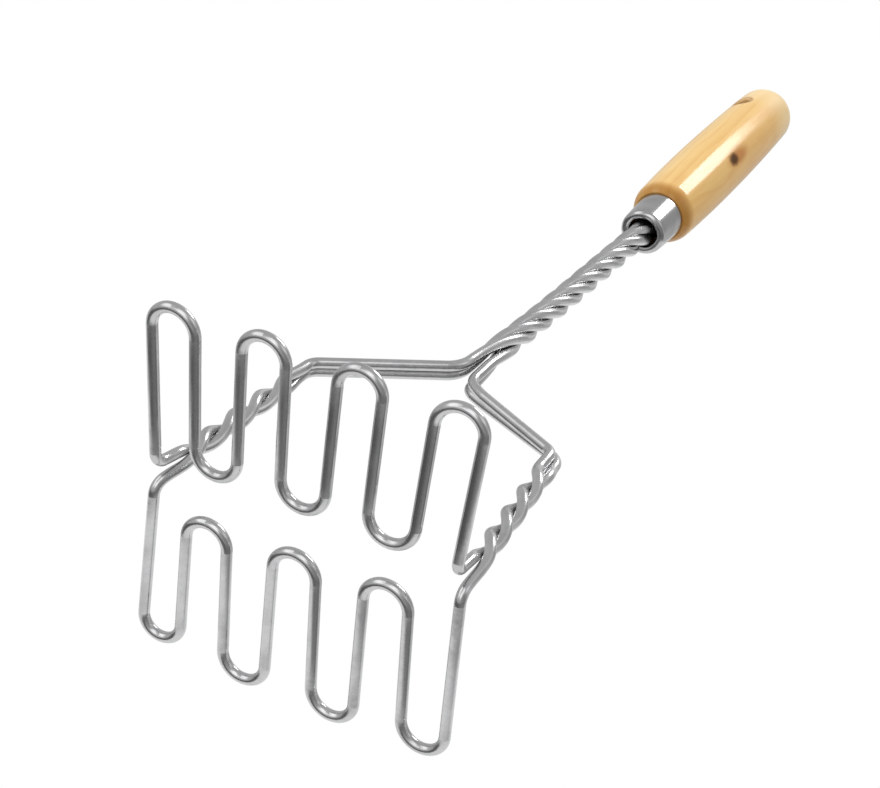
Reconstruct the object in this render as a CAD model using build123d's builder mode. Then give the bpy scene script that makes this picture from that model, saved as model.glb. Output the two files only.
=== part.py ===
from build123d import *
import os
from math import ceil, cos, pi, radians, sin, sqrt, tan

# A potato masher: two bent wires, twisted together into one shank, a metal ferrule and a
# turned wooden handle. It stands on its mashing grid. +Z runs up the handle, X runs across
# the row of legs, and the origin lies under the middle of the grid, on what it stands on.

# Wire
wire_d = 3.2
wire_gap = 0.08

# Mashing grid: each wire has eight legs in one plane. The front wire's legs run to -Y from
# the middle, the rear wire's to +Y. The inner and outer bends crest near two lines.
leg_pitch = 13.3
inner_line = 7.1
outer_line = 52.3

# Where the legs cross the two lines, and how far each bend crests past its line, as shares
# of the leg pitch: the wires are bent by hand round pegs, so no two legs are quite alike
front_inner_shares = (-3.35, -2.43, -1.47, -0.5, 0.48, 1.41, 2.42, 3.38)
front_outer_shares = (-3.58, -2.59, -1.54, -0.57, 0.55, 1.51, 2.62, 3.65)
front_inner_crest_shares = (-0.07, -0.05, -0.06)
front_outer_crest_shares = (-0.13, -0.04, 0.0, -0.03)
rear_inner_shares = (-3.34, -2.53, -1.61, -0.54, 0.42, 1.49, 2.46, 3.52)
rear_outer_shares = (-3.48, -2.58, -1.54, -0.56, 0.53, 1.5, 2.58, 3.54)
rear_inner_crest_shares = (0.17, 0.07, -0.06)
rear_outer_crest_shares = (-0.06, 0.13, 0.13, 0.0)

# Feet, where the outermost legs turn up into the sides
foot_bend = 3.4
left_front_foot_y = -2.8
left_rear_foot_y = 3.7
right_front_foot_y = -5.3
right_rear_foot_y = 0.3

# Sides: the two wires twisted together, left-handed, below the shoulders. A side's axis
# runs down to its base, beside its feet.
shoulder_height = 72.8
shoulder_bend = 5.0
side_twist_end = 59.7
side_pitch = 24.9
side_turns = 1.8
left_pair_lean = -17.0
right_pair_lean = 34.0
left_shoulder_x = -39.85
left_shoulder_y = -0.15
left_base_x = -42.05
left_base_y = -0.85
right_shoulder_x = 38.0
right_shoulder_y = 0.2
right_base_x = 47.0
right_base_y = -3.2

# Arms: the two wires of a side, running up and in to where they bend into the shank. The
# right pair turns a little about itself on its way from there to its shoulder.
left_arm_x = -3.6
left_arm_y = -1.2
left_arm_height = 95.5
right_arm_x = 5.6
right_arm_y = 0.3
right_arm_height = 88.8
right_arm_turn = 15.0
arm_bend_reach = 3.8
arm_start_gap = 0.5
arm_end_gap = 0.3

# Shank: all four wires twisted together, right-handed. Its bottom leans to the left and the
# front by the lean, which fades out up its length. The wires of an arm run on as its drop
# says: past the shank's bottom, or not quite down to it. The right pair parts from the left
# one near the bottom.
shank_bottom = 98.0
left_arm_drop = -1.5
right_arm_drop = 3.2
shank_pitch = 41.3
shank_phase = 15.0
shank_turn_in = 27.5
shank_lean_x = -1.7
shank_lean_y = -1.2
shank_lean_length = 68.0
right_parting_x = 1.3
right_parting_y = 0.7
parting_length = 24.0

# Seat: the shank drifts a little towards one side on its way up, and the ferrule and the
# handle are pressed on there with a slight tilt back
seat_way = 35.2
drift_start = 0.35
seat_offset = 1.58
seat_tilt = 1.2

# Ferrule: a thin tapered cup with its lip rolled in round a mouth
ferrule_height = 212.6
ferrule_length = 14.4
ferrule_front_d = 15.0
ferrule_rear_d = 16.2
ferrule_wall = 0.5
ferrule_rounding = 1.4
mouth_d = 9.8
lip_depth = 2.2
lip_rounding = 1.0

# Handle
handle_length = 104.0
handle_d = 22.4
handle_front_d = 17.0
shoulder_d = 21.2
shoulder_length = 4.8
widest_distance = 39.0
handle_rear_d = 19.3
end_rounding = 9.2
tenon_setback = 5.0
bore_depth = 36.0
bore_end_gap = 1.0
hang_hole_d = 6.6
hang_hole_setback = 20.5
hang_hole_turn = 238.0
hang_hole_rounding = 0.8
fit_gap = 0.05
bore_gap = 0.08

# Worked out from the sizes above
wire_r = wire_d / 2
pair_r = (wire_d + wire_gap) / 2
shank_lay = 2 * pi * pair_r * sqrt(2) / shank_pitch
shank_r = pair_r * sqrt(2) * sqrt(1 + shank_lay**2)
ferrule_top = ferrule_height + ferrule_length
tenon_bottom = ferrule_height + tenon_setback
bore_top = tenon_bottom + bore_depth
bore_r = shank_r + wire_r + bore_gap
shank_top = bore_top - bore_end_gap
handle_front = ferrule_top + fit_gap
handle_top = handle_front + handle_length
hang_hole_height = handle_top - hang_hole_setback

# Angles and directions
full_turn = 360.0
straight_angle = 0.01
nudge_share = 0.001
across_arms = Vector(0, 1, 0)
seat_side = Vector(cos(radians(seat_way)), sin(radians(seat_way)), 0)


def beside(point, heading, angle, radius):
    """The point at a radius and an angle round a heading: angle 90 is always +Y."""
    aside = heading.cross(across_arms).normalized()
    turn = radians(angle)
    return point + aside * radius * cos(turn) + across_arms * radius * sin(turn)


def shank_drift(height):
    """How far the shank's axis has drifted to the seat's side. It is straight in the bore."""
    if height > ferrule_height:
        return seat_offset - (height - ferrule_height) * tan(radians(seat_tilt))
    share = max(height - shank_bottom, 0) / (ferrule_height - shank_bottom)
    return drift_start + (seat_offset - drift_start) * share**2


def shank_point(height, angle, parting):
    """Centre of a wire at a height in the shank, which turns in slowly at its bottom."""
    climb = max(height - shank_bottom, 0)
    if climb < shank_turn_in:
        turned = climb**2 / (2 * shank_turn_in)
    else:
        turned = climb - shank_turn_in / 2
    turn = radians(angle + shank_phase + full_turn * turned / shank_pitch)
    lean_share = max(1 - climb / shank_lean_length, 0)**2
    centre = Vector(shank_lean_x, shank_lean_y, 0) * lean_share
    centre += parting * max(1 - climb / parting_length, 0)**2
    centre += seat_side * shank_drift(height)
    return centre + Vector(shank_r * cos(turn), shank_r * sin(turn), height)


def shank_stations(angle, drop, parting):
    """Stations down the shank and a drop past its bottom, about a quarter turn apart."""
    length = shank_top - shank_bottom + drop
    count = ceil(length / (shank_pitch / 4))
    nudge = length * nudge_share
    stations = []
    for index in range(count + 1):
        height = shank_top - length * index / count
        below = shank_point(height - nudge, angle, parting)
        above = shank_point(height + nudge, angle, parting)
        stations.append((shank_point(height, angle, parting), (below - above).normalized()))
    return stations


def twist_point(share, top, bottom, angle, turns):
    """Centre of a wire at a share of the twist of a side."""
    centre = top + (bottom - top) * share
    return beside(centre, bottom - top, angle + full_turn * turns * share, pair_r)


def twist_stations(top, bottom, angle, turns):
    """Stations down the twist of a side, a quarter turn apart or closer."""
    count = ceil(4 * turns)
    stations = []
    for index in range(count + 1):
        share = index / count
        point = twist_point(share, top, bottom, angle, turns)
        before = twist_point(share - nudge_share, top, bottom, angle, turns)
        after = twist_point(share + nudge_share, top, bottom, angle, turns)
        stations.append((point, (after - before).normalized()))
    return stations


def side_stations(side, angle):
    """Stations down a whole side: out along the arm, round the shoulder, down the twist."""
    if side < 0:
        lean = left_pair_lean
        arm_turn = 0
        junction = Vector(left_arm_x, left_arm_y, left_arm_height)
        shoulder = Vector(left_shoulder_x, left_shoulder_y, shoulder_height)
        base = Vector(left_base_x, left_base_y, wire_r)
    else:
        lean = right_pair_lean
        arm_turn = right_arm_turn
        junction = Vector(right_arm_x, right_arm_y, right_arm_height)
        shoulder = Vector(right_shoulder_x, right_shoulder_y, shoulder_height)
        base = Vector(right_base_x, right_base_y, wire_r)
    arm = (shoulder - junction).normalized()
    down = (base - shoulder).normalized()
    angle -= lean
    bend_reach = shoulder_bend * tan(radians(arm.get_angle(down)) / 2)
    start_r = (wire_d + arm_start_gap) / 2
    end_r = (wire_d + arm_end_gap) / 2
    arm_start = beside(junction + arm * arm_bend_reach, arm, angle + arm_turn, start_r)
    arm_end = beside(shoulder - arm * bend_reach, arm, angle, end_r)
    side_start = beside(shoulder + down * bend_reach, down, angle, end_r)
    along = (arm_end - arm_start).normalized()
    stations = [(arm_start, along), (arm_end, along), (side_start, down)]
    turns = side_turns + lean / full_turn
    bottom = shoulder + down * side_twist_end
    return stations + twist_stations(bottom - down * turns * side_pitch, bottom, angle, turns)


def leg_point(leg, distance):
    """Where a leg's centre line lies at a distance from the middle of the grid."""
    facing, inner_share, outer_share = leg
    share = (distance - inner_line) / (outer_line - inner_line)
    across = inner_share + (outer_share - inner_share) * share
    return Vector(across * leg_pitch, facing * distance, wire_r)


def leg_heading(leg):
    """Heading of a leg away from the middle of the grid."""
    return (leg_point(leg, outer_line) - leg_point(leg, inner_line)).normalized()


def foot_corner(leg, foot_y):
    """Where an outermost leg, run on to the middle, meets its side."""
    facing = leg[0]
    return leg_point(leg, foot_y * facing)


def foot_stations(above, leg, foot_y):
    """Stations round a foot, between the wire above it and its leg."""
    corner = foot_corner(leg, foot_y)
    fall = (corner - above).normalized()
    outward = leg_heading(leg)
    return [(corner - fall * foot_bend, fall), (corner + outward * foot_bend, outward)]


def bend_stations(first, second, line, crest_share, outward):
    """Stations at the two ends of a bend between two legs, where outward is 1 or -1."""
    crest = line + crest_share * leg_pitch
    half_width = (leg_point(second, crest) - leg_point(first, crest)).length / 2
    distance = crest - outward * half_width
    return [
        (leg_point(first, distance), leg_heading(first) * outward),
        (leg_point(second, distance), leg_heading(second) * -outward),
    ]


def grid_stations(legs, inner_crest_shares, outer_crest_shares):
    """Stations along all legs of a wire: outer bends first, inner bends between them."""
    stations = []
    for index in range(len(legs) - 1):
        pair = legs[index], legs[index + 1]
        if index % 2 == 0:
            share = outer_crest_shares[index // 2]
            stations += bend_stations(*pair, outer_line, share, 1)
        else:
            share = inner_crest_shares[index // 2]
            stations += bend_stations(*pair, inner_line, share, -1)
    return stations


def descent_stations(side, leg, foot_y):
    """Stations of half a wire above the grid, from the top of the shank down to a foot."""
    facing = leg[0]
    angle = facing * full_turn / 4
    shank_angle = angle - facing * side * full_turn / 8
    if side < 0:
        stations = shank_stations(shank_angle, left_arm_drop, Vector(0, 0, 0))
    else:
        parting = Vector(right_parting_x, right_parting_y, 0)
        stations = shank_stations(shank_angle, right_arm_drop, parting)
    stations += side_stations(side, angle)
    last_point, last_heading = stations[-1]
    return stations + foot_stations(last_point, leg, foot_y)


def reversed_stations(stations):
    """The same stations, passed the other way."""
    return [(point, heading * -1) for point, heading in reversed(stations)]


def meeting_point(start, start_heading, end, end_heading):
    """Where the two arcs meet that join two stations smoothly, with equal tangents."""
    chord = end - start
    closing = chord.dot(start_heading + end_heading)
    spread = 2 * (1 - start_heading.dot(end_heading))
    square = chord.dot(chord)
    reach = square / (closing + sqrt(closing**2 + spread * square))
    return (start + start_heading * reach + end - end_heading * reach) / 2


def draw_arc(start, heading, end):
    """Draw the arc, or line, that leaves start along heading, and give its last heading."""
    chord = end - start
    along = chord.normalized()
    bend = heading.get_angle(along)
    if bend < straight_angle:
        Line(start, end)
        return along
    aside = (heading - along * heading.dot(along)).normalized()
    bulge = chord.length / 2 * tan(radians(bend) / 2)
    ThreePointArc(start, start + chord / 2 + aside * bulge, end)
    return along * 2 * along.dot(heading) - heading


def draw_wire(stations):
    """Draw a wire's centre line through all its stations, two arcs to each stretch."""
    for (start, start_heading), (end, end_heading) in zip(stations, stations[1:]):
        chord = end - start
        if max(start_heading.get_angle(chord), end_heading.get_angle(chord)) < straight_angle:
            Line(start, end)
        else:
            meeting = meeting_point(start, start_heading, end, end_heading)
            middle_heading = draw_arc(start, start_heading, meeting)
            draw_arc(meeting, middle_heading, end)


def print_wire(name, path, solid):
    """Print a wire's length, its tightest bend, and its volume against section times length."""
    radii = [edge.radius for edge in path.edges() if edge.geom_type == GeomType.CIRCLE]
    ratio = solid.volume / (pi * wire_r**2 * path.length)
    print(f"{name}: length {path.length:.1f}, tightest radius {min(radii):.2f}, volume ratio {ratio:.5f}")


front_legs = [(-1, *ends) for ends in zip(front_inner_shares, front_outer_shares)]
rear_legs = [(1, *ends) for ends in zip(rear_inner_shares, rear_outer_shares)]

# Front wire
left_half = descent_stations(-1, front_legs[0], left_front_foot_y)
right_half = descent_stations(1, front_legs[-1], right_front_foot_y)
front_grid = grid_stations(front_legs, front_inner_crest_shares, front_outer_crest_shares)
with BuildPart() as front_wire:
    with BuildLine() as front_path:
        draw_wire(left_half + front_grid + reversed_stations(right_half))
    with BuildSketch(Plane(origin=front_path.line @ 0, z_dir=front_path.line % 0)):
        Circle(radius=wire_r)
    sweep(path=front_path.line)
front_wire.part.label = "front_wire"
print_wire("front wire", front_path.wire(), front_wire.part)

# Rear wire
left_half = descent_stations(-1, rear_legs[0], left_rear_foot_y)
right_half = descent_stations(1, rear_legs[-1], right_rear_foot_y)
rear_grid = grid_stations(rear_legs, rear_inner_crest_shares, rear_outer_crest_shares)
with BuildPart() as rear_wire:
    with BuildLine() as rear_path:
        draw_wire(left_half + rear_grid + reversed_stations(right_half))
    with BuildSketch(Plane(origin=rear_path.line @ 0, z_dir=rear_path.line % 0)):
        Circle(radius=wire_r)
    sweep(path=rear_path.line)
rear_wire.part.label = "rear_wire"
print_wire("rear wire", rear_path.wire(), rear_wire.part)

# Where the ferrule and the handle end up from their upright place on the Z axis
seat_place = seat_side * seat_offset + Vector(0, 0, ferrule_height)
seat = (
    Location(tuple(seat_place), (0, 0, seat_way))
    * Location((0, 0, 0), (0, -seat_tilt, 0))
    * Location((0, 0, -ferrule_height), (0, 0, -seat_way))
)
seat_plane = Plane(seat * Plane.XZ.location)
seat_axis = Axis(tuple(seat_place), tuple(seat_plane.y_dir))

# Ferrule: the outline runs up the outside, round the front edge and into the mouth
front_r = ferrule_front_d / 2
rear_r = ferrule_rear_d / 2
mouth_r = mouth_d / 2
with BuildPart() as ferrule:
    with BuildSketch(seat_plane):
        with BuildLine():
            FilletPolyline(
                (rear_r, ferrule_top),
                (front_r, ferrule_height),
                (mouth_r, ferrule_height),
                (mouth_r, ferrule_height + lip_depth),
                radius=(ferrule_rounding, lip_rounding),
            )
            offset(amount=ferrule_wall, side=Side.RIGHT)
        make_face()
    revolve(axis=seat_axis)
ferrule.part.label = "ferrule"


def ferrule_inner_r(height):
    """Radius inside the ferrule's taper at a height."""
    share = (height - ferrule_height) / ferrule_length
    return front_r + (rear_r - front_r) * share - ferrule_wall


# Handle: a tenon in the ferrule, a rounded shoulder, a slim barrel and a domed end
with BuildPart() as handle:
    with BuildSketch(seat_plane):
        with BuildLine():
            shoulder_top = (shoulder_d / 2, handle_front + shoulder_length)
            widest = (handle_d / 2, handle_front + widest_distance)
            barrel = TangentArc(widest, shoulder_top, tangent=(0, -1))
            rear = TangentArc(widest, (handle_rear_d / 2, handle_top), tangent=(0, 1))
            TangentArc(shoulder_top, (handle_front_d / 2, handle_front), tangent=barrel % 1)
            Polyline(
                (handle_front_d / 2, handle_front),
                (ferrule_inner_r(ferrule_top) - fit_gap, handle_front),
                (ferrule_inner_r(tenon_bottom) - fit_gap, tenon_bottom),
                (0, tenon_bottom),
                (0, handle_top),
                rear @ 1,
            )
        make_face()
        fillet(vertices().group_by(Axis.Y)[-1].sort_by(Axis.X)[-1], radius=end_rounding)
    revolve(axis=seat_axis)
    with Locations(seat * Location((0, 0, tenon_bottom), (180, 0, 0))):
        Hole(radius=bore_r, depth=bore_depth)
    hole_plane = Plane(
        origin=(0, 0, hang_hole_height),
        z_dir=Vector(1, 0, 0).rotate(Axis.Z, hang_hole_turn),
    )
    with Locations(seat * hole_plane.location):
        Hole(radius=hang_hole_d / 2)
    fillet(edges(Select.LAST), radius=hang_hole_rounding)
handle.part.label = "handle"

os.makedirs("parts", exist_ok=True)
export_step(front_wire.part, "parts/front_wire.step")
export_step(rear_wire.part, "parts/rear_wire.step")
export_step(ferrule.part, "parts/ferrule.step")
export_step(handle.part, "parts/handle.step")
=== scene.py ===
import math

import bpy
from mathutils import Matrix, Vector

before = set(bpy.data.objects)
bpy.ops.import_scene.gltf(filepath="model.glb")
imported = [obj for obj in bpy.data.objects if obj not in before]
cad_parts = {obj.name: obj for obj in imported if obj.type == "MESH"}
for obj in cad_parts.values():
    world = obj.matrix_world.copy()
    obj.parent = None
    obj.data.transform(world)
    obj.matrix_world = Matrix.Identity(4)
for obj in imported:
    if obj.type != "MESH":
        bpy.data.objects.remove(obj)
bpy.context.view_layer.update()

MM = 0.001


def direction(azimuth, elevation):
    """The unit vector that points to a compass angle and a height angle, both in degrees."""
    turn = math.radians(azimuth)
    climb = math.radians(elevation)
    return Vector((math.cos(turn) * math.cos(climb), math.sin(turn) * math.cos(climb), math.sin(climb)))


def linear(shade):
    """One channel from 0-255 as it looks on a screen to the amount of light it stands for."""
    part = shade / 255
    return part / 12.92 if part <= 0.04045 else ((part + 0.055) / 1.055) ** 2.4


def colour(red, green, blue):
    return (linear(red), linear(green), linear(blue), 1)


def grey(shade):
    return colour(shade, shade, shade)


# How sums on nodes are written
class Signal:
    """An output of a node. A sum of signals and plain numbers adds the Math nodes it needs."""

    def __init__(self, nodes, socket):
        self.nodes = nodes
        self.socket = socket

    def maths(self, operation, *values):
        return self.nodes.add("ShaderNodeMath", {"operation": operation}, dict(enumerate(values)))

    def __add__(self, other):
        return self.maths("ADD", self, other)

    def __radd__(self, other):
        return self.maths("ADD", other, self)

    def __sub__(self, other):
        return self.maths("SUBTRACT", self, other)

    def __rsub__(self, other):
        return self.maths("SUBTRACT", other, self)

    def __mul__(self, other):
        return self.maths("MULTIPLY", self, other)

    def __rmul__(self, other):
        return self.maths("MULTIPLY", other, self)

    def root(self):
        return self.maths("SQRT", self)

    def size(self):
        return self.maths("ABSOLUTE", self)

    def fraction(self):
        return self.maths("FRACT", self)

    def larger(self, other):
        return self.maths("MAXIMUM", self, other)

    def rise(self, start, end):
        """0 before start, 1 after end, and a smooth slope between them."""
        slope = {"Value": self, "From Min": start, "From Max": end}
        return self.nodes.add("ShaderNodeMapRange", {"interpolation_type": "SMOOTHSTEP"}, slope)


class Nodes:
    """The node tree of one finish, or of the world."""

    def __init__(self, tree):
        self.tree = tree
        tree.nodes.clear()

    def add(self, kind, settings, inputs, output=0):
        made = self.tree.nodes.new(kind)
        for name, value in settings.items():
            setattr(made, name, value)
        for name, value in inputs.items():
            if isinstance(value, Signal):
                self.tree.links.new(value.socket, made.inputs[name])
            else:
                made.inputs[name].default_value = value
        return Signal(self, made.outputs[output]) if made.outputs else None

    def place(self):
        """Where a point is on the object, in metres, as a vector."""
        return self.add("ShaderNodeTexCoord", {}, {}, "Object")

    def parts(self, vector):
        split = self.add("ShaderNodeSeparateXYZ", {}, {0: vector}).socket.node
        return [Signal(self, split.outputs[axis]) for axis in ("X", "Y", "Z")]

    def vector(self, x, y, z):
        return self.add("ShaderNodeCombineXYZ", {}, {0: x, 1: y, 2: z})

    def noise(self, vector, scale, detail, roughness=0.5):
        inputs = {"Vector": vector, "Scale": scale, "Detail": detail, "Roughness": roughness}
        return self.add("ShaderNodeTexNoise", {}, inputs)

    def blend(self, first, second, share):
        """A colour that goes from first to second as the share goes from 0 to 1."""
        inputs = {"Factor": share, 6: first, 7: second}
        return self.add("ShaderNodeMix", {"data_type": "RGBA"}, inputs, 2)

    def tint(self, first, second, share):
        """The first colour multiplied by the second, as much as the share says."""
        settings = {"data_type": "RGBA", "blend_type": "MULTIPLY"}
        return self.add("ShaderNodeMix", settings, {"Factor": share, 6: first, 7: second}, 2)

    def leaned(self, lean):
        """The surface's own normal, leaned along Y by a small angle in radians."""
        normal = self.add("ShaderNodeNewGeometry", {}, {}, "Normal")
        tipped = {0: normal, 1: self.vector(0, lean, 0)}
        leaning = self.add("ShaderNodeVectorMath", {"operation": "ADD"}, tipped)
        return self.add("ShaderNodeVectorMath", {"operation": "NORMALIZE"}, {0: leaning})

    def bump(self, height, strength, distance, normal=None):
        inputs = {"Height": height, "Strength": strength, "Distance": distance}
        if normal:
            inputs["Normal"] = normal
        return self.add("ShaderNodeBump", {}, inputs)

    def surface(self, shader):
        self.add("ShaderNodeOutputMaterial", {}, {"Surface": shader})


def finish_named(name):
    material = bpy.data.materials.new(name)
    material.use_nodes = True
    return material, Nodes(material.node_tree)


# Chrome gives back a little over half of the light that falls on it
CHROME_SHADE = 203

# Chromed wire: its tones, the places where its finish changes, and small angles in radians
WIRE_SMEARED = grey(CHROME_SHADE - 12)
DUST_TINT = colour(243, 245, 247)
FLAT_TO = 4.0 * MM
RISEN_FROM = 8.0 * MM
INNER_BEND = 7.0 * MM
LEG_START = 18.0 * MM
LEG_END = 36.0 * MM
OUTER_BEND = 50.0 * MM
TWIST_START = 5.0 * MM
TWIST_FULL = 15.0 * MM
SHOULDER_REACH = (40.0 * MM, 46.0 * MM)
SHOULDER_HEIGHT = (48.0 * MM, 56.0 * MM)
MIDDLE_GAP = 2.0 * MM
FAR_RIGHT_GAP = (24.0 * MM, 28.0 * MM)
ROW_GAP = 1.0 * MM
RIGHT_LEAN = -0.023
FAR_RIGHT_LEAN = -0.03
PLATE_RELIEF = 0.12 * MM


def chromed_wire():
    material, nodes = finish_named("chromed_wire")
    place = nodes.place()
    cloud = nodes.noise(place, 90, 3)
    dust = nodes.noise(place, 700, 4, 0.6)
    smear = cloud.rise(0.42, 0.7)
    tone = nodes.blend(grey(CHROME_SHADE), WIRE_SMEARED, smear)
    tone = nodes.tint(tone, DUST_TINT, dust.rise(0.4, 0.75))
    drawn = nodes.noise(place, 2600, 2)

    # Where the wire was bent round the pegs, the plate is duller and wrinkled
    x, y, z = nodes.parts(place)
    off_middle = y.size()
    flat = 1 - z.rise(FLAT_TO, RISEN_FROM)
    bent = off_middle.rise(LEG_END, OUTER_BEND) + 1 - off_middle.rise(INNER_BEND, LEG_START)
    bent = bent * flat
    shoulder = x.size().rise(*SHOULDER_REACH) * z.rise(*SHOULDER_HEIGHT)
    wrinkles = nodes.noise(place, 380, 1)
    twisted = z.rise(TWIST_START, TWIST_FULL)

    # The legs on the right mirror another part of the room, as legs do that are not quite level
    right = x.rise(-MIDDLE_GAP, MIDDLE_GAP)
    far_right = x.rise(*FAR_RIGHT_GAP) * (1 - y.rise(-ROW_GAP, ROW_GAP))
    lean = flat * (RIGHT_LEAN * right + FAR_RIGHT_LEAN * far_right)
    relief = 0.1 * cloud + 0.01 * drawn + 0.6 * wrinkles * bent
    shader = nodes.add("ShaderNodeBsdfPrincipled", {}, {
        "Metallic": 1.0,
        "Base Color": tone,
        "Roughness": 0.08 + 0.05 * smear + 0.04 * dust + 0.12 * bent + 0.13 * (twisted + shoulder),
        "Normal": nodes.bump(relief, 0.35, PLATE_RELIEF, nodes.leaned(lean)),
    })
    nodes.surface(shader)
    return material


# Chromed ferrule, turned in a lathe before plating
FERRULE_BRIGHT = grey(CHROME_SHADE - 10)
FERRULE_CLOUDED = grey(CHROME_SHADE - 24)
TURNED_RELIEF = 0.06 * MM


def chromed_ferrule():
    material, nodes = finish_named("chromed_ferrule")
    place = nodes.place()
    x, y, z = nodes.parts(place)
    turned = nodes.noise(nodes.vector(x * 0.05, y * 0.05, z), 2400, 3)
    cloud = nodes.noise(place, 160, 3)
    tone = nodes.blend(FERRULE_BRIGHT, FERRULE_CLOUDED, cloud.rise(0.4, 0.7))
    shader = nodes.add("ShaderNodeBsdfPrincipled", {}, {
        "Metallic": 1.0,
        "Base Color": tone,
        "Roughness": 0.11 + 0.1 * cloud + 0.05 * turned,
        "Normal": nodes.bump(0.5 * turned + 0.5 * cloud, 0.15, TURNED_RELIEF),
    })
    nodes.surface(shader)
    return material


# Varnished wood
HANDLE_FRONT = 227.05 * MM
HANDLE_TOP = 331.05 * MM
SHADED_SIDE_ANGLE = 345
KNOT_ANGLE = 324
KNOT_HEIGHT = 269.5 * MM
KNOT_REACH = 11.0 * MM
HOLE_TURN = 238
HOLE_HEIGHT = 310.55 * MM
HOLE_RADIUS = 3.3 * MM
HEART_X = -31.0 * MM
HEART_Y = 22.0 * MM
SWAY_X = 6.0 * MM
SWAY_Y = 4.0 * MM
YEARS_PER_METRE = 420
SHADED_SIDE_FADE = (-3.0 * MM, 9.0 * MM)
KNOT_FADE = (1.0 * MM, 2.9 * MM)
KNOT_WANDER = 1.6 * MM
HALO_RISE = 3.5 * MM
HALO_FADE = (1.2 * MM, 4.6 * MM)
HALO_WANDER = 3.0 * MM
SHOULDER_FADE = (HANDLE_FRONT + 1.0 * MM, HANDLE_FRONT + 5.5 * MM)
RIM_START = (HOLE_RADIUS - 0.3 * MM, HOLE_RADIUS + 0.5 * MM)
RIM_END = (HOLE_RADIUS + 0.6 * MM, HOLE_RADIUS + 1.6 * MM)
TIP_FADE = (HANDLE_TOP - 26.0 * MM, HANDLE_TOP - 8.0 * MM)
TENON_FADE = (HANDLE_FRONT - 1.0 * MM, HANDLE_FRONT)
GRAIN_RELIEF = 0.12 * MM

EARLY_WOOD = colour(243, 207, 138)
STREAKED_WOOD = colour(238, 199, 129)
PATCH_TINT = colour(248, 236, 224)
LATE_WOOD_TINT = colour(243, 226, 198)
FIBRE_TINT = colour(232, 208, 172)
# Painted shade: the handle's side turned from the lamps, tinted a deeper orange
PAINTED_SHADE_TINT = colour(253, 243, 226)
HALO_TINT = colour(210, 166, 104)
KNOT_WOOD = colour(78, 44, 14)
POOLED_VARNISH = colour(204, 178, 134)
# Painted shade round the mouth of the hanging hole
HOLE_RIM_SHADE = colour(184, 146, 106)
# Painted sheen: the rounded tip, paler where it mirrors the bright room
PAINTED_TIP_SHEEN = colour(249, 224, 174)
# Painted shade: the tenon deep inside the ferrule
TENON_PAINTED_SHADE = colour(52, 40, 30)


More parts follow.
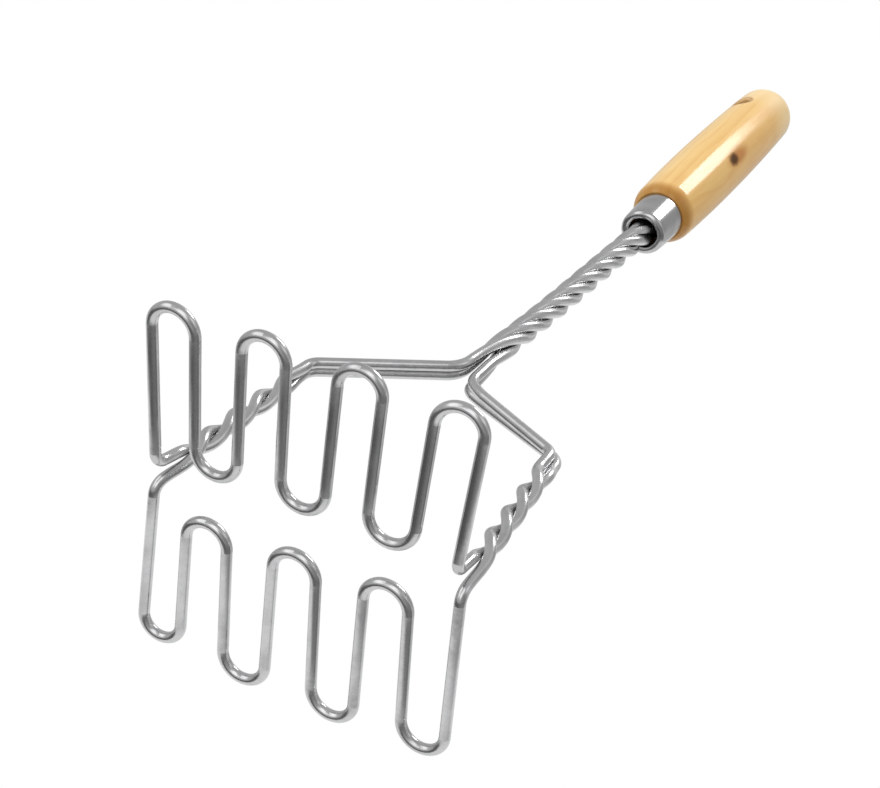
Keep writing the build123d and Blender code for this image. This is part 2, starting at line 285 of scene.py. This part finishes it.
def varnished_wood():
    material, nodes = finish_named("varnished_wood")
    place = nodes.place()
    x, y, z = nodes.parts(place)

    # The blank was cut beside the heart of the branch, so the year rings run along the handle
    sway = nodes.noise(nodes.vector(x, y, z * 0.25), 60, 2)
    from_heart_x = x - HEART_X + SWAY_X * sway
    from_heart_y = y - HEART_Y - SWAY_Y * sway
    ring_radius = (from_heart_x * from_heart_x + from_heart_y * from_heart_y).root()
    year = (ring_radius * YEARS_PER_METRE).fraction()
    late_wood = year.rise(0.45, 0.95) - year.rise(0.95, 1.0)

    fibres = nodes.noise(nodes.vector(x, y, z * 0.045), 1500, 3, 0.6)
    streaks = nodes.noise(nodes.vector(x, y, z * 0.09), 330, 3, 0.55)
    patches = nodes.noise(nodes.vector(x, y, z * 0.4), 75, 2)

    # The knot on the side, with the grain darkened along the handle beside it
    knot_place = direction(KNOT_ANGLE, 0) * KNOT_REACH
    across_x = x - knot_place.x
    across_y = y - knot_place.y
    along = z - KNOT_HEIGHT
    across = across_x * across_x + across_y * across_y
    knot_noise = nodes.noise(place, 480, 3)
    knot_distance = (across + along * along * 0.4).root() + KNOT_WANDER * (knot_noise - 0.5)
    knot = 1 - knot_distance.rise(*KNOT_FADE)
    above = along - HALO_RISE
    halo_distance = (across * 1.3 + above * above * 0.16).root() + HALO_WANDER * (streaks - 0.5)
    halo = 1 - halo_distance.rise(*HALO_FADE)

    shaded_way = direction(SHADED_SIDE_ANGLE, 0)
    tone = nodes.blend(EARLY_WOOD, STREAKED_WOOD, streaks.rise(0.35, 0.68))
    tone = nodes.tint(tone, PATCH_TINT, patches.rise(0.45, 0.7) * 0.8)
    tone = nodes.tint(tone, LATE_WOOD_TINT, late_wood * 0.4)
    tone = nodes.tint(tone, FIBRE_TINT, fibres.rise(0.55, 0.85) * 0.35)
    # The side of the handle turned from the lamps is tinted a deeper orange: painted shade
    painted_shade_side = (x * shaded_way.x + y * shaded_way.y).rise(*SHADED_SIDE_FADE)
    tone = nodes.tint(tone, PAINTED_SHADE_TINT, painted_shade_side)
    tone = nodes.tint(tone, HALO_TINT, halo * 0.85)
    tone = nodes.blend(tone, KNOT_WOOD, knot * 0.94)

    # The varnish pools and darkens at the front shoulder. Round the hanging hole the wood is painted
    # darker: painted shade at the mouth of the hole
    shoulder = 1 - z.rise(*SHOULDER_FADE)
    tone = nodes.tint(tone, POOLED_VARNISH, shoulder * 0.95)
    hole_way = direction(HOLE_TURN, 0)
    hole_side = x * hole_way.y - y * hole_way.x
    hole_up = z - HOLE_HEIGHT
    hole_distance = (hole_side * hole_side + hole_up * hole_up).root()
    inner_side = hole_distance.rise(*RIM_START)
    outer_side = hole_distance.rise(*RIM_END)
    tone = nodes.tint(tone, HOLE_RIM_SHADE, inner_side * (1 - outer_side))
    # The rounded tip is painted paler: a painted sheen where it mirrors the bright room
    tone = nodes.blend(tone, PAINTED_TIP_SHEEN, z.rise(*TIP_FADE) * 0.65)

    # The tenon in the ferrule is bare end grain, painted dark: painted shade deep inside the ferrule's
    # mouth
    tenon = 1 - z.rise(*TENON_FADE)
    tone = nodes.blend(tone, TENON_PAINTED_SHADE, tenon * 0.95)

    grain_height = 0.6 * fibres + 0.4 * streaks - 0.5 * knot
    shader = nodes.add("ShaderNodeBsdfPrincipled", {}, {
        "Base Color": tone,
        "Roughness": 0.42 + 0.16 * streaks,
        "IOR": 1.45,
        "Specular IOR Level": 0.1,
        "Coat Weight": 0.8 - 0.2 * fibres - 0.6 * knot,
        "Coat Roughness": 0.16,
        "Coat IOR": 1.5,
        "Normal": nodes.bump(grain_height, 0.25, GRAIN_RELIEF),
    })
    nodes.surface(shader)
    return material


def dress(node_name, material):
    """Gives a CAD node its finish in place of the plain one it was packed with."""
    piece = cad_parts[node_name]
    for slot in piece.material_slots:
        slot.material = material


wire_finish = chromed_wire()
dress("front_wire", wire_finish)
dress("rear_wire", wire_finish)
dress("ferrule", chromed_ferrule())
dress("handle", varnished_wood())


# Floor: it shows from above and takes the shadow there. The photo looks up from below it.
FLOOR_SIZE = 3.0
PAPER_RELIEF = 0.1 * MM


def pale_floor():
    material, nodes = finish_named("pale_floor")
    place = nodes.place()
    mottle = nodes.noise(place, 6, 3)
    paper = nodes.noise(place, 900, 2)
    tone = nodes.blend(grey(244), grey(240), mottle)
    diffuse = nodes.add("ShaderNodeBsdfDiffuse", {}, {
        "Color": tone,
        "Normal": nodes.bump(paper, 0.1, PAPER_RELIEF),
    })
    clear = nodes.add("ShaderNodeBsdfTransparent", {}, {})
    seen = nodes.add("ShaderNodeLightPath", {}, {}, "Is Camera Ray")
    from_below = nodes.add("ShaderNodeNewGeometry", {}, {}, "Backfacing")
    shown = seen * (1 - from_below)
    nodes.surface(nodes.add("ShaderNodeMixShader", {}, {0: shown, 1: clear, 2: diffuse}))
    return material


bpy.ops.mesh.primitive_plane_add(size=FLOOR_SIZE)
floor = bpy.context.object
floor.name = "floor"
floor.data.materials.append(pale_floor())
floor.visible_glossy = False
floor.visible_diffuse = False
floor.visible_transmission = False
floor.visible_shadow = False


# World: white behind the object, a plain level of light, and the room that the chrome shows
WHITE = (1, 1, 1, 1)
PLAIN_LEVEL = 0.6

# Plainer and brighter parts of the room, as zones: the grey that the chrome shows there, the
# azimuth and elevation of the middle, and how many degrees from it the zone is full and has faded
WALL_ZONES = (
    (168, 320, 34, 6, 24),
    (166, 190, 22, 4, 20),
    (182, 20, 18, 10, 30),
    (140, 350, 50, 6, 26),
    (136, 338, -50, 8, 34),
    (120, 350, -28, 12, 28),
    (122, 6, -8, 6, 24),
    (208, 322, 4, 8, 20),
)
LIGHT_ZONES = (
    (205, 152, 4, 6, 16),
    (240, 228, -12, 8, 20),
    (252, 222, -22, 8, 18),
    (250, 216, -42, 6, 16),
    (254, 272, -56, 12, 22),
    (250, 281, -30, 9, 18),
)

# A direction shows the sheet of paper behind the object where its part along +Y is more than this
PAPER_EDGE_SHARE = 0.55
PAPER_BLUR_SHARE = 0.012


def room():
    world = bpy.data.worlds.new("studio")
    bpy.context.scene.world = world
    world.use_nodes = True
    nodes = Nodes(world.node_tree)
    way = nodes.add("ShaderNodeTexCoord", {}, {}, "Generated")
    x, y, z = nodes.parts(way)

    def near(azimuth, elevation, inner, outer):
        """1 within the inner angle of a direction, and 0 beyond the outer one."""
        to_zone = direction(azimuth, elevation)
        cosine = x * to_zone.x + y * to_zone.y + z * to_zone.z
        return cosine.rise(math.cos(math.radians(outer)), math.cos(math.radians(inner)))

    def glow(shade):
        """How bright the room is where the chrome shows this grey."""
        level = linear(shade) / linear(CHROME_SHADE)
        return (level, level, level, 1)

    def with_zones(view, zones):
        for shade, azimuth, elevation, inner, outer in zones:
            view = nodes.blend(view, glow(shade), near(azimuth, elevation, inner, outer))
        return view

    view = nodes.blend(glow(158), glow(180), z.rise(0.86, 0.96))
    view = with_zones(view, WALL_ZONES)
    under_table = y.rise(0.0, 0.2) * (1 - (z - 0.25 * x).rise(-0.1, 0.3))
    view = nodes.blend(view, nodes.blend(glow(76), glow(106), x.rise(-0.3, 0.87)), under_table)
    paper = (y - 0.02 * x).rise(PAPER_EDGE_SHARE - PAPER_BLUR_SHARE, PAPER_EDGE_SHARE + PAPER_BLUR_SHARE)
    view = nodes.blend(view, nodes.blend(glow(202), glow(184), x.rise(0.6, 0.9)), paper)
    view = with_zones(view, LIGHT_ZONES)

    shown = nodes.add("ShaderNodeBackground", {}, {"Color": WHITE, "Strength": 1.0})
    plain = nodes.add("ShaderNodeBackground", {}, {"Color": WHITE, "Strength": PLAIN_LEVEL})
    mirrored = nodes.add("ShaderNodeBackground", {}, {"Color": view, "Strength": 1.0})
    camera_ray = nodes.add("ShaderNodeLightPath", {}, {}, "Is Camera Ray")
    glossy_ray = nodes.add("ShaderNodeLightPath", {}, {}, "Is Glossy Ray")
    see_through_ray = nodes.add("ShaderNodeLightPath", {}, {}, "Is Transmission Ray")
    lit = nodes.add("ShaderNodeMixShader", {}, {0: glossy_ray, 1: plain, 2: mirrored})
    seen = camera_ray.larger(see_through_ray)
    whole = nodes.add("ShaderNodeMixShader", {}, {0: seen, 1: lit, 2: shown})
    nodes.add("ShaderNodeOutputWorld", {}, {"Surface": whole})


room()


# Lamps
AIM = Vector((0, 0, 160 * MM))
LAMP_DISTANCE = 1.6


def lamp(name, azimuth, elevation, width, height, power):
    """A soft rectangular lamp that looks at the middle of the object."""
    light = bpy.data.lights.new(name, "AREA")
    light.shape = "RECTANGLE"
    light.size = width
    light.size_y = height
    light.energy = power
    holder = bpy.data.objects.new(name, light)
    bpy.context.scene.collection.objects.link(holder)
    away = direction(azimuth, elevation)
    holder.location = AIM + away * LAMP_DISTANCE
    holder.rotation_euler = away.to_track_quat("Z", "Y").to_euler()
    return holder


lamp("stripe_lamp", azimuth=294, elevation=57, width=0.6, height=0.35, power=7.0)
side_lamp = lamp("side_lamp", azimuth=236, elevation=0, width=1.1, height=1.1, power=12.8)
side_lamp.visible_glossy = False


# Camera at the photo's viewing angle
PIXELS_WIDE = 880
FOCAL_PIXELS = 2430.25
SENSOR_WIDTH = 36.0
CAMERA_AIM = Vector((-1.94 * MM, -1.38 * MM, 80.49 * MM))
CAMERA_WAY = direction(305.393, -51.0494)
CAMERA_DISTANCE = 681.11 * MM
CAMERA_ROLL = 48.713
NEAREST_SEEN = 10.0 * MM

camera_data = bpy.data.cameras.new("photo_camera")
camera_data.sensor_width = SENSOR_WIDTH
camera_data.lens = FOCAL_PIXELS / PIXELS_WIDE * SENSOR_WIDTH
camera_data.dof.use_dof = False
camera_data.clip_start = NEAREST_SEEN
camera = bpy.data.objects.new("photo_camera", camera_data)
bpy.context.scene.collection.objects.link(camera)
facing = CAMERA_WAY.to_track_quat("Z", "Y").to_matrix() @ Matrix.Rotation(math.radians(CAMERA_ROLL), 3, "Z")
camera.matrix_world = Matrix.Translation(CAMERA_AIM + CAMERA_WAY * CAMERA_DISTANCE) @ facing.to_4x4()
bpy.context.scene.camera = camera
bpy.context.scene.view_settings.view_transform = "Standard"
